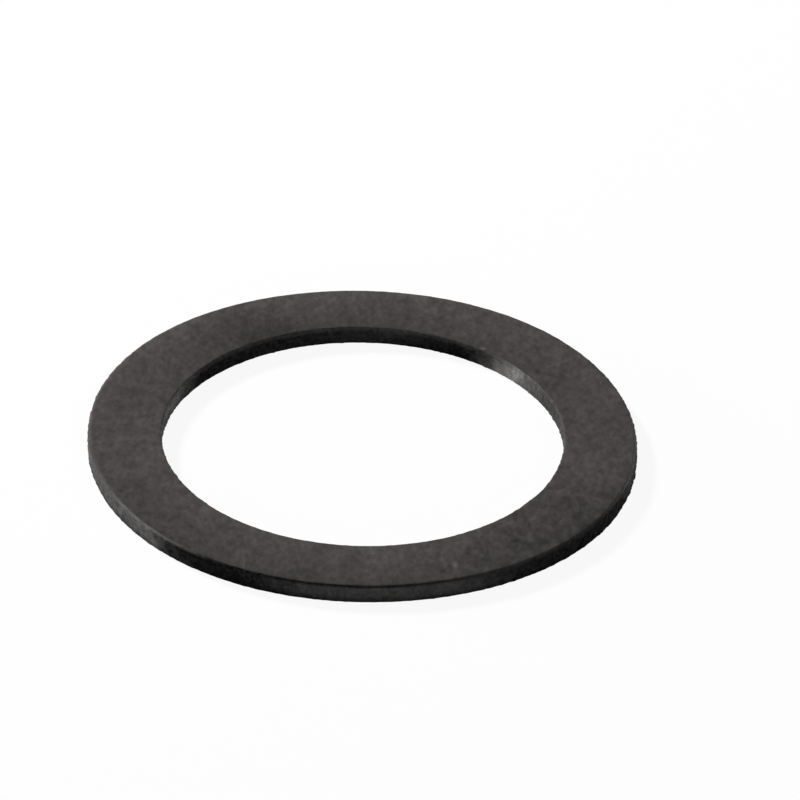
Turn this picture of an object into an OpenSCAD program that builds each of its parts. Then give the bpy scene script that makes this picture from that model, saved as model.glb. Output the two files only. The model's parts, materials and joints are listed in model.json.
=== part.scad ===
// Flat rubber gasket that seals a toilet's flush valve to the floor of its tank.
// The valve's threaded shank goes through the bore, and the shank's flange or
// nut squeezes the two flat faces. The ring lies flat, with its lower face at
// z = 0 and the axis of its bore on Z. All sizes are in millimetres.

/* [Ring] */
// Outside diameter of the ring
outer_d = 90; // [80:1:120]
// Diameter of the bore that the valve's shank passes through
bore_d = 66; // [50:1:72]
// Thickness from the lower face to the upper face
thickness = 3.2; // [2.4:0.2:6]

/* [Outer edges] */
// Rounding where the upper face meets the outer wall
outer_top_r = 0.7; // [0.2:0.1:1]
// Rounding where the lower face meets the outer wall
outer_bottom_r = 0.2; // [0.1:0.1:1]

/* [Bore edges] */
// Rounding where the upper face meets the wall of the bore
bore_top_r = 0.3; // [0.1:0.1:1]
// Rounding where the lower face meets the wall of the bore
bore_bottom_r = 0.2; // [0.1:0.1:1]

/* [Hidden] */
outer_r = outer_d / 2;
bore_r = bore_d / 2;
// How far a corner cut runs out past the faces that it trims
overrun = 0.5;
// Flats that a full turn and a rounding are drawn with
ring_fn = 240;
edge_fn = 48;

// Waste that turns the square corner at the origin into a rounding of radius r.
// The body of the section lies on the side of +X and +Y.
module corner_waste(r) {
    difference() {
        translate([-overrun, -overrun]) square(r + overrun);
        translate([r, r]) circle(r, $fn = edge_fn);
    }
}

// Half section of the ring: x is the distance from the axis, y is the height
module section() {
    difference() {
        translate([bore_r, 0]) square([outer_r - bore_r, thickness]);
        translate([bore_r, 0]) corner_waste(bore_bottom_r);
        translate([bore_r, thickness]) mirror([0, 1]) corner_waste(bore_top_r);
        translate([outer_r, 0]) mirror([1, 0]) corner_waste(outer_bottom_r);
        translate([outer_r, thickness]) rotate(180) corner_waste(outer_top_r);
    }
}

// The ring, moulded in one piece from black rubber
module gasket() {
    color("#484543")
        rotate_extrude($fn = ring_fn) section();
}

gasket();
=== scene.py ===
import json
import math
import bpy
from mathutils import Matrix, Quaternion, Vector


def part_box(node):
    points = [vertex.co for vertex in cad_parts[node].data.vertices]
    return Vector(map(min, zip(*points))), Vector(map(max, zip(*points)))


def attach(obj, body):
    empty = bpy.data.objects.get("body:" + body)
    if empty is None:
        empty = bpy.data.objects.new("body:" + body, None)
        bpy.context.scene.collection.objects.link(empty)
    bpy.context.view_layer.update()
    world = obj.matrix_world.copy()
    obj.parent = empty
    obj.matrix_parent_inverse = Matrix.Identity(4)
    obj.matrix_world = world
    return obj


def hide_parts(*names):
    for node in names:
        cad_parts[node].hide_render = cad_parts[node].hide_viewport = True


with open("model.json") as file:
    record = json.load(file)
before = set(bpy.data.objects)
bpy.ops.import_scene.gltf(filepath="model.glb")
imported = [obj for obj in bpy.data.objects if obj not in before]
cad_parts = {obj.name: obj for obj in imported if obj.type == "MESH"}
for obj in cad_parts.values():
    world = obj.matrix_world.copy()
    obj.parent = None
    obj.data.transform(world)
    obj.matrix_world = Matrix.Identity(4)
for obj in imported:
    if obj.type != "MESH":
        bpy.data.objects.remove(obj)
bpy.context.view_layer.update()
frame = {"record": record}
SCENE = bpy.context.scene
MM = 0.001

# Camera
# A long lens stands in front of the ring and looks down on it at about a third of a right angle. It is
# tipped a little to one side, and the ring lies left of the picture's middle and below it.
CAMERA_LENS_MM = 400.0
SENSOR_WIDTH_MM = 36.0
CAMERA_DISTANCE = 1.4556
CAMERA_ELEVATION = math.radians(32.81)
CAMERA_ROLL = math.radians(1.668)
CAMERA_TARGET = Vector((6.03, 15.61, 0.0)) * MM
NEAREST_SEEN = 0.01

camera_place = Vector((0.0, -math.cos(CAMERA_ELEVATION), math.sin(CAMERA_ELEVATION))) * CAMERA_DISTANCE
camera_turn = (CAMERA_TARGET - camera_place).to_track_quat("-Z", "Y") @ Quaternion((0, 0, 1), CAMERA_ROLL)
bpy.ops.object.camera_add(location=camera_place, rotation=camera_turn.to_euler())
camera = bpy.context.object
camera.data.lens = CAMERA_LENS_MM
camera.data.sensor_width = SENSOR_WIDTH_MM
camera.data.clip_start = NEAREST_SEEN
SCENE.camera = camera
SCENE.view_settings.view_transform = "Standard"

# Floor
# A wide matt white table top. The camera sees it nearly full white with a faint trace of the ring's shadow,
# and reflections in the rubber see it part white and part as it is lit, with most of its shadow.
FLOOR_SIZE = 12.0
FLOOR_DROP = 0.01 * MM
FLOOR_HEX = "F4F4F4"
SEEN_WHITE = 0.92
MIRRORED_WHITE = 0.20


def linear(hex_colour):
    """An sRGB hex colour as linear red, green, blue and alpha."""
    levels = [int(hex_colour[i:i + 2], 16) / 255 for i in (0, 2, 4)]
    return [v / 12.92 if v <= 0.04045 else ((v + 0.055) / 1.055) ** 2.4 for v in levels] + [1.0]


def add_node(tree, kind, feeds, **settings):
    """Adds a node with its settings. Each feed is a value, or an output that is linked to the input."""
    fresh = tree.nodes.new(kind)
    for name, value in settings.items():
        setattr(fresh, name, value)
    for socket, value in feeds.items():
        if isinstance(value, bpy.types.NodeSocket):
            tree.links.new(value, fresh.inputs[socket])
        else:
            fresh.inputs[socket].default_value = value
    return fresh


bpy.ops.mesh.primitive_plane_add(size=FLOOR_SIZE, location=(0, 0, -FLOOR_DROP))
floor = bpy.context.object
floor.name = "table_top"

table_white = bpy.data.materials.new("matt_white_table")
table_white.use_nodes = True
tree = table_white.node_tree
tree.nodes.clear()
ray = add_node(tree, "ShaderNodeLightPath", {})
mirrored = add_node(tree, "ShaderNodeMath", {0: ray.outputs["Is Glossy Ray"],
                                             1: ray.outputs["Is Transmission Ray"]}, operation="MAXIMUM")
mirrored_share = add_node(tree, "ShaderNodeMath", {0: mirrored.outputs[0], 1: MIRRORED_WHITE},
                          operation="MULTIPLY")
white_share = add_node(tree, "ShaderNodeMath", {0: ray.outputs["Is Camera Ray"], 1: SEEN_WHITE,
                                                2: mirrored_share.outputs[0]}, operation="MULTIPLY_ADD")
lit = add_node(tree, "ShaderNodeBsdfDiffuse", {"Color": linear(FLOOR_HEX)})
white = add_node(tree, "ShaderNodeEmission", {"Strength": 1.0})
mixed = add_node(tree, "ShaderNodeMixShader", {0: white_share.outputs[0], 1: lit.outputs[0],
                                               2: white.outputs[0]})
add_node(tree, "ShaderNodeOutputMaterial", {"Surface": mixed.outputs[0]})
floor.data.materials.append(table_white)

# Light
# A strong softbox stands behind the ring and to its left. Three weak ones fill in: low on the left, low in
# front, and high on the right. The room gives a little light from all round. Each lamp's level is the share
# of full white that it lays on a level white card.
ROOM_LEVEL = 0.08


def softbox(name, azimuth, elevation, distance, width, height, level):
    """An area lamp that looks at the ring. Its azimuth is in degrees from +X towards +Y."""
    a, e = math.radians(azimuth), math.radians(elevation)
    place = Vector((math.cos(a) * math.cos(e), math.sin(a) * math.cos(e), math.sin(e))) * distance
    turn = place.to_track_quat("Z", "Y")
    bpy.ops.object.light_add(type="AREA", location=place, rotation=turn.to_euler())
    lamp = bpy.context.object
    lamp.name = name
    lamp.data.shape = "RECTANGLE"
    lamp.data.size = width
    lamp.data.size_y = height
    lamp.data.energy = level * (math.pi * distance) ** 2 / math.sin(e)


softbox("key_softbox", azimuth=136, elevation=34, distance=1.3, width=0.20, height=0.20, level=0.80)
softbox("low_left", azimuth=168, elevation=8, distance=1.3, width=0.30, height=0.12, level=0.05)
softbox("front_fill", azimuth=-76, elevation=12, distance=1.6, width=0.40, height=0.20, level=0.035)
softbox("right_fill", azimuth=15, elevation=40, distance=1.6, width=0.40, height=0.40, level=0.040)

world = bpy.data.worlds.new("studio")
SCENE.world = world
world.use_nodes = True
tree = world.node_tree
tree.nodes.clear()
glow = add_node(tree, "ShaderNodeBackground", {"Color": (1, 1, 1, 1), "Strength": ROOM_LEVEL})
add_node(tree, "ShaderNodeOutputWorld", {"Surface": glow.outputs[0]})

# Gasket
# One flat ring moulded from black rubber, with a plain bore for the valve's shank. Its pressed faces are matt
# and mottled grey, and its walls and rounded edges are blacker and a little ragged. It lies loose on the
# table, and soft as it is, it isn't quite round.
low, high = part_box("gasket")
BORE_MOUNT = [m for m in frame["record"]["mounts"] if m["name"] == "bore"][0]
THICKNESS = high.z - low.z
OUTER_R = (high.x - low.x) / 2
BORE_R = BORE_MOUNT["dims"]["r_mm"] * MM
# Roundings of the four edges, as radius and number of segments
RIM = (0.7 * MM, 8)
FOOT = (0.2 * MM, 4)
BORE_RIM = (0.3 * MM, 6)
BORE_FOOT = (0.2 * MM, 4)
# Cuts across each face and up each wall, and steps round the turn, close enough to carry the skin's pits
FACE_CUTS = 26
WALL_CUTS = 5
TURN_STEPS = 720
# How close two points lie that count as one, and how close a corner lies to the place where it is sought
SAME_PLACE = 0.001 * MM
NEAR_CORNER = 0.01 * MM

bpy.ops.object.select_all(action="DESELECT")
bpy.ops.mesh.primitive_plane_add(size=1, location=((OUTER_R + BORE_R) / 2, 0, THICKNESS / 2),
                                 rotation=(math.pi / 2, 0, 0))
gasket = bpy.context.object
gasket.name = "rubber_ring"
gasket.scale = (OUTER_R - BORE_R, THICKNESS, 1)
bpy.ops.object.transform_apply(location=True, rotation=True, scale=True)


def pick(parts, wanted):
    """In edit mode, selects just the vertices or edges whose middle is wanted."""
    bpy.ops.mesh.select_all(action="DESELECT")
    bpy.ops.object.mode_set(mode="OBJECT")
    points = gasket.data.vertices
    for part in getattr(gasket.data, parts):
        ends = [part] if parts == "vertices" else [points[i] for i in part.vertices]
        part.select = wanted((ends[0].co + ends[-1].co) / 2)
    bpy.ops.object.mode_set(mode="EDIT")


# The half section has its corners rounded and its faces and walls cut finer, and is turned round the bore
bpy.ops.object.mode_set(mode="EDIT")
for x, z, (radius, segments) in ((OUTER_R, THICKNESS, RIM), (OUTER_R, 0, FOOT),
                                 (BORE_R, THICKNESS, BORE_RIM), (BORE_R, 0, BORE_FOOT)):
    bpy.context.tool_settings.mesh_select_mode = (True, False, False)
    pick("vertices", lambda p: (p - Vector((x, 0, z))).length < NEAR_CORNER)
    bpy.ops.mesh.bevel(offset=radius, segments=segments, affect="VERTICES")
bpy.ops.mesh.select_all(action="SELECT")
bpy.ops.mesh.delete(type="ONLY_FACE")
bpy.context.tool_settings.mesh_select_mode = (False, True, False)
for level in (0, THICKNESS):
    pick("edges", lambda p: abs(p.z - level) < SAME_PLACE)
    bpy.ops.mesh.subdivide(number_cuts=FACE_CUTS)
for reach in (BORE_R, OUTER_R):
    pick("edges", lambda p: abs(p.x - reach) < SAME_PLACE)
    bpy.ops.mesh.subdivide(number_cuts=WALL_CUTS)
bpy.ops.object.mode_set(mode="OBJECT")

turned = gasket.modifiers.new("turn_round_the_bore", "SCREW")
turned.angle = 2 * math.pi
turned.steps = TURN_STEPS
turned.render_steps = TURN_STEPS
turned.use_merge_vertices = True
turned.merge_threshold = SAME_PLACE
bpy.ops.object.modifier_apply(modifier=turned.name)
bpy.ops.object.mode_set(mode="EDIT")
bpy.ops.mesh.select_all(action="SELECT")
bpy.ops.mesh.remove_doubles(threshold=SAME_PLACE)
bpy.ops.mesh.normals_make_consistent(inside=False)
bpy.ops.object.mode_set(mode="OBJECT")
bpy.ops.object.shade_smooth()

# The moulded skin isn't flat: it sinks in shallow waves and pits, and the walls are trimmed a bit ragged.
# Each is given by feature, depth, the level of the noise that stays in place, and whether only the walls
# have it.
UNEVENNESS = (("shallow_waves", 5.0 * MM, 0.03 * MM, 1.0, False),
              ("fine_pits", 1.3 * MM, 0.035 * MM, 1.0, False),
              ("ragged_trim", 0.9 * MM, 0.50 * MM, 0.45, True))

# An upright wall belongs to this group in full, and a level face not at all
walls = gasket.vertex_groups.new(name="walls")
for vertex in gasket.data.vertices:
    walls.add([vertex.index], 1 - abs(vertex.normal.z), "REPLACE")
for name, feature, depth, level, only_walls in UNEVENNESS:
    clouds = bpy.data.textures.new(name, "CLOUDS")
    clouds.noise_scale = feature
    sink = gasket.modifiers.new(name, "DISPLACE")
    sink.texture = clouds
    sink.texture_coords = "LOCAL"
    sink.direction = "NORMAL"
    sink.mid_level = level
    sink.strength = depth
    if only_walls:
        sink.vertex_group = "walls"
    bpy.ops.object.modifier_apply(modifier=sink.name)
gasket.vertex_groups.clear()

# Out of round, as waves per turn, height and place of a crest in degrees. No wave at all makes the circle
# wider or narrower, and one wave shifts it.
OUTLINE_WAVES = ((0, 0.06 * MM, 0), (2, 0.12 * MM, -47), (4, 0.14 * MM, -35))
BORE_WAVES = ((0, -0.05 * MM, 0), (1, 0.10 * MM, -38), (2, 0.11 * MM, 49))


def wander(waves, turn):
    """How far a circle's wall lies outside its true radius at this place of the turn."""
    return sum(rise * math.cos(count * (turn - math.radians(crest))) for count, rise, crest in waves)


# The ring stays within its true width and depth, so a crest of its outline is trimmed off there
for vertex in gasket.data.vertices:
    reach = math.hypot(vertex.co.x, vertex.co.y)
    turn = math.atan2(vertex.co.y, vertex.co.x)
    outward = (reach - BORE_R) / (OUTER_R - BORE_R)
    moved = reach + outward * wander(OUTLINE_WAVES, turn) + (1 - outward) * wander(BORE_WAVES, turn)
    vertex.co.x = max(low.x, min(high.x, vertex.co.x * moved / reach))
    vertex.co.y = max(low.y, min(high.y, vertex.co.y * moved / reach))

# Black rubber with bloom: wax and chalk that work out of the rubber lie on it as a thin grey film. The
# pressed faces keep most of it, so they are matt and mottled grey. The bare rubber is nearly black and
# faintly glossy. How light the walls are round the turn is partly that film and partly painted light and
# shade: a painted highlight at the left, painted shade on the black stretches, and a painted glint on a short
# stretch of the bore.
FACE_HEX = "474443"
BARE_HEX = "090808"
CHALK_AND_LIGHT_HEX = "868483"
BARE_ROUGHNESS = 0.48
CHALKY_ROUGHNESS = 0.72
FACE_ROUGHNESS = 0.85
# A wall is as rough as chalk from this share of cover on
CHALKY_COVER = 0.4
# The film breaks up the shine of the rubber under it, so hardly any of the usual level is left
RUBBER_IOR = 1.52
SHINE_LEVEL = 0.03
# The film of the pressed faces ends where their edges turn over, between these shares of level
FACE_ENDS = (0.78, 0.98)

# How light the walls are round the turn, as angle in degrees and share of full chalk cover. This is partly
# the chalk film and partly painted light and shade: the grey stretches carry painted light, and the nearly
# empty ones painted shade.
WALL_CHALK_AND_LIGHT = ((-180, 0.29), (-150, 0.31), (-141, 0.42), (-137, 0.38), (-134, 0.09), (-128, 0.00),
              (-118, 0.00), (-110, 0.04), (-100, 0.20), (-70, 0.24), (-56, 0.05), (-21, 0.01), (-11, 0.31),
              (60, 0.30), (120, 0.22), (180, 0.29))
# On the rim, the peaks at the left and at the right end are a painted highlight, and the low stretch in front
# is a painted dark line of shade under the edge.
RIM_CHALK_AND_LIGHT = ((-180, 0.26), (-168, 0.17), (-156, 0.25), (-143, 0.47), (-132, 0.42), (-120, 0.05),
             (-112, 0.02), (-88, 0.02), (-76, 0.06), (-55, 0.17), (-40, 0.16), (-28, 0.20), (-20, 0.40),
             (-12, 0.82), (60, 0.50), (120, 0.30), (180, 0.26))
# In the bore, the pale stretch near 41 degrees is a painted glint, the pale end from 154 degrees on is
# painted light, and the black stretch between is painted shade.
BORE_CHALK_AND_LIGHT = ((-180, 0.74), (-140, 0.35), (-60, 0.18), (0, 0.18), (28, 0.18), (35, 0.40), (41, 0.94),
              (45, 0.76), (51, 0.27), (56, 0.06), (63, 0.00), (84, 0.10), (100, 0.07), (147, 0.02),
              (154, 0.33), (162, 0.74), (180, 0.74))
# The rim's chalk and painted light give way to the outer wall's between these depths under the upper face
RIM_ENDS = (0.17 * MM, 0.60 * MM)
# The foot of the outer wall has painted shade, where it stands on the table: its lightness is brought down
# to this share there, and it recovers between these heights
FOOT_SHADE_SHARE = 0.35
FOOT_ENDS = (0.2 * MM, 1.1 * MM)
# The bore's upper edge has this share of painted light all round, a lighter band under the edge. It mixes
# in by this part at most, and fades out between these depths under the upper face.
BORE_RIM_PAINTED_LIGHT = 0.28
BORE_RIM_PART = 0.6
BORE_RIM_ENDS = (0.1 * MM, 1.0 * MM)
# Ends of the patches of chalk and painted light and shade lie this many degrees further on at the foot than
# at the rim, and they are ragged: they wander by up to this many radians, with features of this size.
CHALK_AND_LIGHT_LEAN = 5.0
RAGGED_TURN = 0.08
RAGGED_FEATURE = 1.6 * MM

# The film's mottle, as feature and spread of its shade to each side. It runs a little along Y, the way the
# rubber flowed in the mould, so the noise is drawn in a space that is pressed together along Y.
FLOW = (1.0, 0.6, 1.0)
FACE_MOTTLE = ((12.0 * MM, 0.07), (4.0 * MM, 0.10), (1.5 * MM, 0.155), (0.7 * MM, 0.19))
WALL_MOTTLE = ((2.0 * MM, 0.20), (0.5 * MM, 0.12))
# Specks of dust on the walls, which are there where the chalk has gone too, as feature and share of cover
WALL_DUST = (0.6 * MM, 0.045)
# A soft noise has one finer layer over its first, and nearly all of it lies between these levels
NOISE_LAYERS = 1.0
NOISE_ENDS = (0.25, 0.75)
# The grain of the rubber's skin, about 0.1 mm, is too fine to show, so it is drawn at 0.4 mm
GRAIN = 0.4 * MM
GRAIN_LAYERS = 3.0
GRAIN_DEPTH = 0.03 * MM
GRAIN_STRENGTH = 0.35

# Small marks on the upper face, as place, and reach along X and Y, in millimetres, and shade against the film
# round them. Each reaches this far down.
MARK_DEPTH = 1.0
MARKS = (
    # A pale speck and its neighbours
    (15.3, -38.1, 0.85, 1.5, 2.00), (13.3, -36.3, 0.65, 1.6, 1.40), (13.7, -37.6, 0.65, 1.6, 1.35),
    (13.5, -40.1, 0.9, 1.5, 0.70),
    # Blotches of the darker patch
    (17.4, -33.9, 0.9, 2.0, 0.68), (18.6, -34.1, 0.8, 1.3, 1.25), (19.5, -35.2, 0.6, 1.1, 1.35),
    (19.6, -33.2, 0.7, 1.5, 0.68), (20.5, -33.5, 0.5, 1.8, 0.80), (25.3, -30.5, 1.8, 1.0, 0.68),
    (25.0, -28.5, 0.9, 1.4, 1.25), (26.6, -33.9, 1.0, 1.3, 1.40),
    # Scattered spots
    (-18.4, -39.7, 0.25, 2.5, 1.30), (-28.5, -32.4, 1.1, 0.6, 0.68), (-28.9, -31.4, 0.6, 0.5, 1.30),
    (28.75, 20.65, 0.55, 1.0, 0.68), (30.2, 13.0, 0.5, 0.9, 0.55), (-38.8, -19.0, 0.6, 0.75, 0.70),
    (19.6, 27.2, 0.85, 0.6, 2.0),
    # A wide duller place at the back
    (-18.5, 29.5, 15.0, 13.0, 0.70))
# Painted light and shade across the upper face: it is darker towards the bore at the back and towards the
# outline in front, and lighter on the other side. This is the share of shade lost there, and gained on the
# other side.
LIGHT_ACROSS_FACE_SHARE = 0.18
# The upper face is darker round this place, in full up to the first reach and not at all past the second.
# It loses this share of shade, in blotches of this size.
DARKER_PLACE = Vector((32 * MM, -27 * MM, THICKNESS))
DARKER_REACH = (7.0 * MM, 20.0 * MM)
DARKER_SHADE = 0.18
DARKER_BLOTCH = 1.2 * MM

rubber = bpy.data.materials.new("bloomed_black_rubber")
rubber.use_nodes = True
tree = rubber.node_tree
tree.nodes.clear()
where = add_node(tree, "ShaderNodeTexCoord", {})
place = add_node(tree, "ShaderNodeSeparateXYZ", {0: where.outputs["Object"]})
reach = add_node(tree, "ShaderNodeVectorMath", {0: where.outputs["Object"]}, operation="LENGTH")
facing = add_node(tree, "ShaderNodeSeparateXYZ", {0: where.outputs["Normal"]})
levelness = add_node(tree, "ShaderNodeMath", {0: facing.outputs["Z"]}, operation="ABSOLUTE")
pressed = add_node(tree, "ShaderNodeMapRange", {"Value": levelness.outputs[0], "From Min": FACE_ENDS[0],
                                                "From Max": FACE_ENDS[1]}, interpolation_type="SMOOTHSTEP")
flowed = add_node(tree, "ShaderNodeVectorMath", {0: where.outputs["Object"], 1: FLOW}, operation="MULTIPLY")


def speckle(feature, low_end, high_end):
    """A soft speckle with features of this size, as a factor between two ends."""
    cloud = add_node(tree, "ShaderNodeTexNoise", {"Vector": flowed.outputs[0], "Scale": 1 / feature,
                                                  "Detail": NOISE_LAYERS})
    return add_node(tree, "ShaderNodeMapRange", {"Value": cloud.outputs["Fac"], "From Min": NOISE_ENDS[0],
                                                 "From Max": NOISE_ENDS[1], "To Min": low_end,
                                                 "To Max": high_end}).outputs[0]


def mottled(shade, mottle):
    """A shade, or a share of cover, varied by each feature of a mottle."""
    for feature, spread in mottle:
        shade = add_node(tree, "ShaderNodeMath", {0: shade, 1: speckle(feature, 1 - spread, 1 + spread)},
                         operation="MULTIPLY").outputs[0]
    return shade


def grey(share):
    """A share as a grey, for a socket that takes a colour."""
    return (share, share, share, 1)


# The turn runs from 0 to 1, with slightly ragged ends of each patch that lean between foot and rim
angle = add_node(tree, "ShaderNodeMath", {0: place.outputs["Y"], 1: place.outputs["X"]}, operation="ARCTAN2")
lean = add_node(tree, "ShaderNodeMath", {0: place.outputs["Z"], 1: math.radians(CHALK_AND_LIGHT_LEAN) / THICKNESS,
                                         2: angle.outputs[0]}, operation="MULTIPLY_ADD")
ragged = add_node(tree, "ShaderNodeMath", {0: lean.outputs[0],
                                           1: speckle(RAGGED_FEATURE, -RAGGED_TURN, 0.0)}, operation="ADD")
turn_share = add_node(tree, "ShaderNodeMath", {0: ragged.outputs[0], 1: 1 / (2 * math.pi), 2: 0.5},
                      operation="MULTIPLY_ADD")


def round_the_turn(places):
    """A ramp over the turn, from angles in degrees and shares."""
    ramp = add_node(tree, "ShaderNodeValToRGB", {"Fac": turn_share.outputs[0]})
    stops = ramp.color_ramp.elements
    stops.remove(stops[0])
    stops[0].position = 1.0
    stops[0].color = grey(places[-1][1])
    for degrees, share in places[:-1]:
        stops.new(degrees / 360 + 0.5).color = grey(share)
    return ramp.outputs["Color"]


# Chalk and painted light and shade on the outer wall and its rim, with painted shade at the wall's foot
near_rim = add_node(tree, "ShaderNodeMapRange", {"Value": place.outputs["Z"],
                                                 "From Min": THICKNESS - RIM_ENDS[1],
                                                 "From Max": THICKNESS - RIM_ENDS[0]})
outer_chalk_and_light = add_node(tree, "ShaderNodeMix", {"Factor": near_rim.outputs[0], "A": round_the_turn(WALL_CHALK_AND_LIGHT),
                                               "B": round_the_turn(RIM_CHALK_AND_LIGHT)}, data_type="RGBA")
# Painted shade at the foot of the outer wall, where it stands on the table
painted_foot_shade = add_node(tree, "ShaderNodeMapRange", {"Value": place.outputs["Z"], "From Min": FOOT_ENDS[0],
                                                 "From Max": FOOT_ENDS[1], "To Min": FOOT_SHADE_SHARE})
outer_chalk_light_and_foot_shade = add_node(tree, "ShaderNodeMath", {0: outer_chalk_and_light.outputs["Result"], 1: painted_foot_shade.outputs[0]},
                        operation="MULTIPLY")

# Chalk and painted light and shade in the bore, with its painted glint, and both together
near_bore_rim = add_node(tree, "ShaderNodeMapRange", {"Value": place.outputs["Z"],
                                                      "From Min": THICKNESS - BORE_RIM_ENDS[1],
                                                      "From Max": THICKNESS - BORE_RIM_ENDS[0],
                                                      "To Max": BORE_RIM_PART})
bore_chalk_and_light = add_node(tree, "ShaderNodeMix", {"Factor": near_bore_rim.outputs[0],
                                              "A": round_the_turn(BORE_CHALK_AND_LIGHT), "B": grey(BORE_RIM_PAINTED_LIGHT)},
                      data_type="RGBA")
outside = add_node(tree, "ShaderNodeMath", {0: reach.outputs["Value"], 1: (OUTER_R + BORE_R) / 2},
                   operation="GREATER_THAN")
chalk_and_light = add_node(tree, "ShaderNodeMix", {"Factor": outside.outputs[0], "A": bore_chalk_and_light.outputs["Result"],
                                         "B": outer_chalk_light_and_foot_shade.outputs[0]}, data_type="RGBA")
cover = add_node(tree, "ShaderNodeMath", {0: mottled(chalk_and_light.outputs["Result"], WALL_MOTTLE),
                                          1: speckle(WALL_DUST[0], -WALL_DUST[1], WALL_DUST[1])},
                 operation="ADD", use_clamp=True)
wall_colour = add_node(tree, "ShaderNodeMix", {"Factor": cover.outputs[0], "A": linear(BARE_HEX),
                                               "B": linear(CHALK_AND_LIGHT_HEX)}, data_type="RGBA")

# The shade of the pressed faces' film: the darker patch, the painted light and shade across the face, the
# mottle and the small marks
off_darker = add_node(tree, "ShaderNodeVectorMath", {0: where.outputs["Object"], 1: DARKER_PLACE},
                    operation="DISTANCE")
lost = add_node(tree, "ShaderNodeMapRange", {"Value": off_darker.outputs["Value"], "From Min": DARKER_REACH[0],
                                             "From Max": DARKER_REACH[1], "To Min": -DARKER_SHADE,
                                             "To Max": 0.0}, interpolation_type="SMOOTHSTEP")
darker_patch = add_node(tree, "ShaderNodeMath", {0: lost.outputs[0], 1: speckle(DARKER_BLOTCH, 0.0, 2.0), 2: 1.0},
                operation="MULTIPLY_ADD")
# Painted light and shade across the face, darker towards the bore at the back and the outline in front
across = add_node(tree, "ShaderNodeMapRange", {"Value": reach.outputs["Value"], "From Min": BORE_R,
                                               "From Max": OUTER_R, "To Min": -LIGHT_ACROSS_FACE_SHARE,
                                               "To Max": LIGHT_ACROSS_FACE_SHARE})
to_back = add_node(tree, "ShaderNodeMath", {0: place.outputs["Y"], 1: reach.outputs["Value"]},
                   operation="DIVIDE")
light_across_face = add_node(tree, "ShaderNodeMath", {0: across.outputs[0], 1: to_back.outputs[0], 2: 1.0},
                 operation="MULTIPLY_ADD")
darker_patch_and_light_across = add_node(tree, "ShaderNodeMath", {0: darker_patch.outputs[0], 1: light_across_face.outputs[0]}, operation="MULTIPLY")
shade = mottled(darker_patch_and_light_across.outputs[0], FACE_MOTTLE)
for x, y, wide, long, against in MARKS:
    off = add_node(tree, "ShaderNodeVectorMath", {0: where.outputs["Object"],
                                                  1: Vector((x * MM, y * MM, THICKNESS))},
                   operation="SUBTRACT")
    shares = add_node(tree, "ShaderNodeVectorMath", {0: off.outputs[0],
                                                     1: Vector((wide, long, MARK_DEPTH)) * MM},
                      operation="DIVIDE")
    away = add_node(tree, "ShaderNodeVectorMath", {0: shares.outputs[0]}, operation="LENGTH")
    mark = add_node(tree, "ShaderNodeMapRange", {"Value": away.outputs["Value"], "To Min": against,
                                                 "To Max": 1.0}, interpolation_type="SMOOTHSTEP")
    shade = add_node(tree, "ShaderNodeMath", {0: shade, 1: mark.outputs[0]}, operation="MULTIPLY").outputs[0]
face_colour = add_node(tree, "ShaderNodeVectorMath", {0: linear(FACE_HEX)[:3], "Scale": shade},
                       operation="SCALE")

# The whole skin: the film where it lies level, the chalk and painted light and shade elsewhere, and the fine
# grain over both
colour = add_node(tree, "ShaderNodeMix", {"Factor": pressed.outputs[0], "A": wall_colour.outputs["Result"],
                                          "B": face_colour.outputs[0]}, data_type="RGBA")
wall_rough = add_node(tree, "ShaderNodeMapRange", {"Value": chalk_and_light.outputs["Result"],
                                                   "From Max": CHALKY_COVER, "To Min": BARE_ROUGHNESS,
                                                   "To Max": CHALKY_ROUGHNESS})
rough = add_node(tree, "ShaderNodeMix", {"Factor": pressed.outputs[0], "A": wall_rough.outputs[0],
                                         "B": FACE_ROUGHNESS}, data_type="FLOAT")
grain = add_node(tree, "ShaderNodeTexNoise", {"Vector": where.outputs["Object"], "Scale": 1 / GRAIN,
                                              "Detail": GRAIN_LAYERS})
relief = add_node(tree, "ShaderNodeBump", {"Height": grain.outputs["Fac"], "Strength": GRAIN_STRENGTH,
                                           "Distance": GRAIN_DEPTH})
skin = add_node(tree, "ShaderNodeBsdfPrincipled", {"Base Color": colour.outputs["Result"],
                                                   "Roughness": rough.outputs["Result"],
                                                   "Normal": relief.outputs[0], "IOR": RUBBER_IOR,
                                                   "Specular IOR Level": SHINE_LEVEL})
add_node(tree, "ShaderNodeOutputMaterial", {"Surface": skin.outputs[0]})
gasket.data.materials.append(rubber)

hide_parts("gasket")
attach(gasket, "root")
